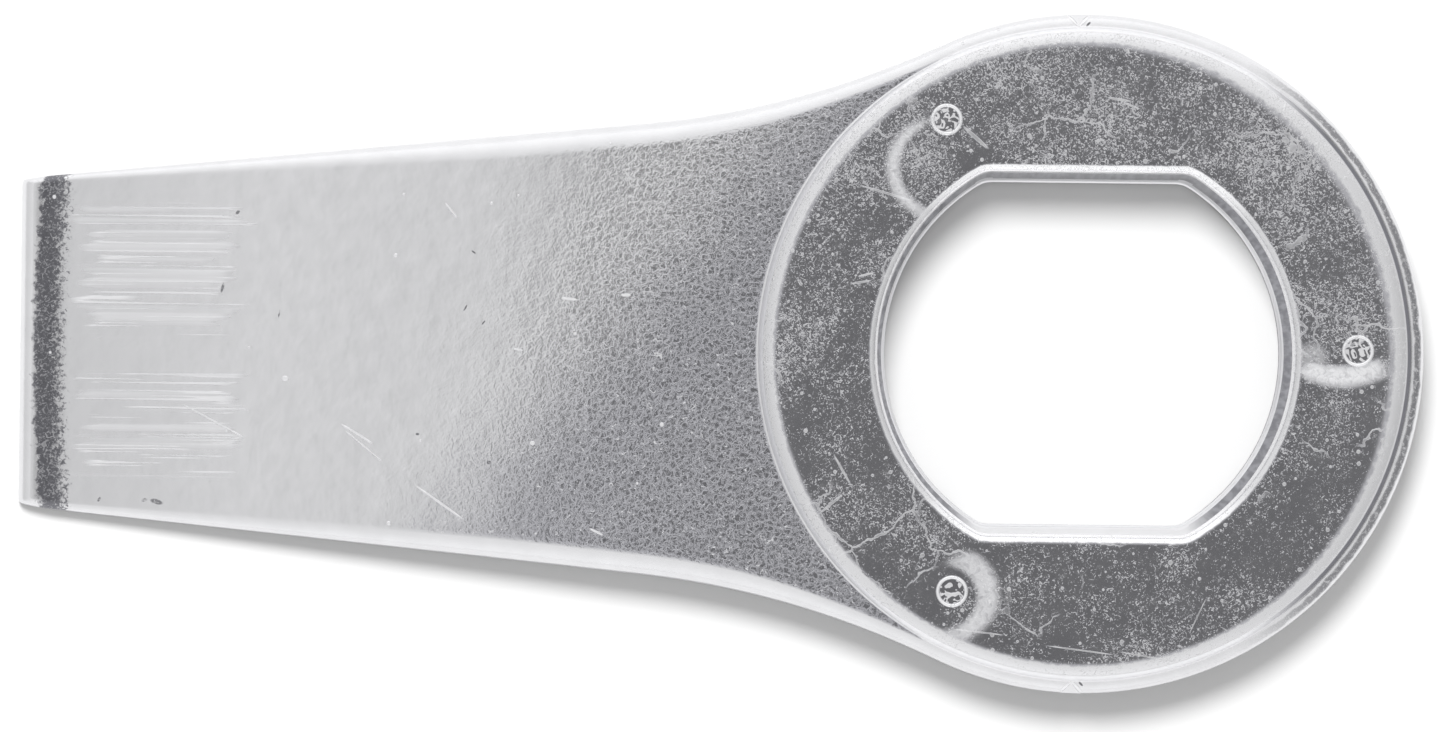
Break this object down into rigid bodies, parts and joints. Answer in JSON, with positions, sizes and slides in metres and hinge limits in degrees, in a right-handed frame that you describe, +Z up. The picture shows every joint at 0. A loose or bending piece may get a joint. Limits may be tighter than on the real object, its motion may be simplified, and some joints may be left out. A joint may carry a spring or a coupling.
{
  "type": "hydrant wrench",
  "caption": "Flat cast wrench: a round head with a raised boss and a double-flatted eye, and a tapering handle that ends in a pry blade.",
  "frame": {"origin": "the eye's axis, in the plane of the flat underside", "axes": "+X away from the handle, so the blade points along -X; +Y across the flats of the eye; +Z up out of the boss"},
  "size_m": [0.1846, 0.0894, 0.0117],
  "materials": {
    "cast_alloy": "die cast and tumbled bright"
  },
  "bodies": {
    "root": {"wrench_casting": "cast_alloy"}
  },
  "joints": []
}
